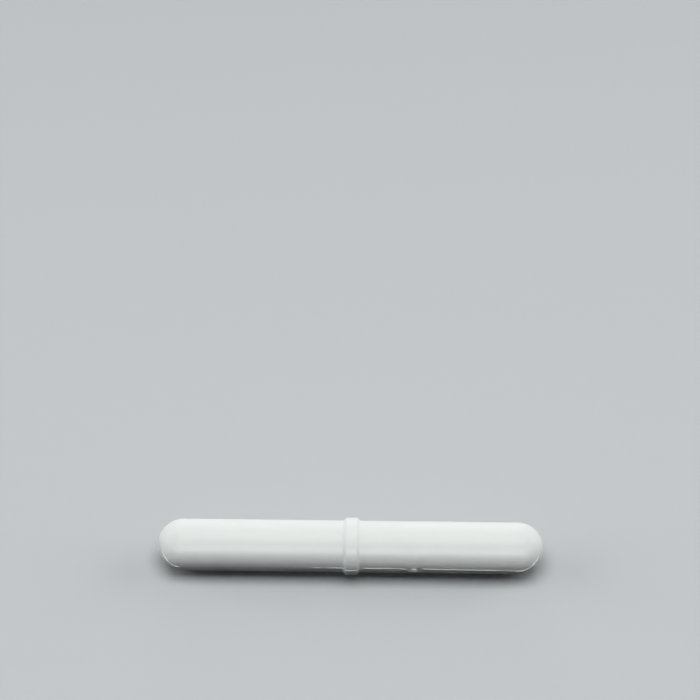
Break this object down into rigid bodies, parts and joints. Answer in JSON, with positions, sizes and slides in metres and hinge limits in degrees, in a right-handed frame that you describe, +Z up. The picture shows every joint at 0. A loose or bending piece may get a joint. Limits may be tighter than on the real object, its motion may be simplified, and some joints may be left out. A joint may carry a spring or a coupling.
{
  "type": "magnetic stir bar",
  "caption": "Round-ended magnetic stir bar: a magnet rod sealed in a moulded PTFE jacket, with a raised pivot ring round its middle.",
  "frame": {"origin": "on the bar's long axis, halfway between its two domed ends", "axes": "+X along the bar, +Z up as it lies on its ring; the mould's parting line runs near the XY plane"},
  "size_m": [0.06, 0.0092, 0.0088],
  "materials": {
    "ptfe": "white sintered PTFE, smooth and slightly waxy",
    "alnico": "cast alnico, dull grey, ground on the outside"
  },
  "bodies": {
    "root": {"ptfe_jacket": "ptfe", "magnet_core": "alnico"}
  },
  "joints": []
}
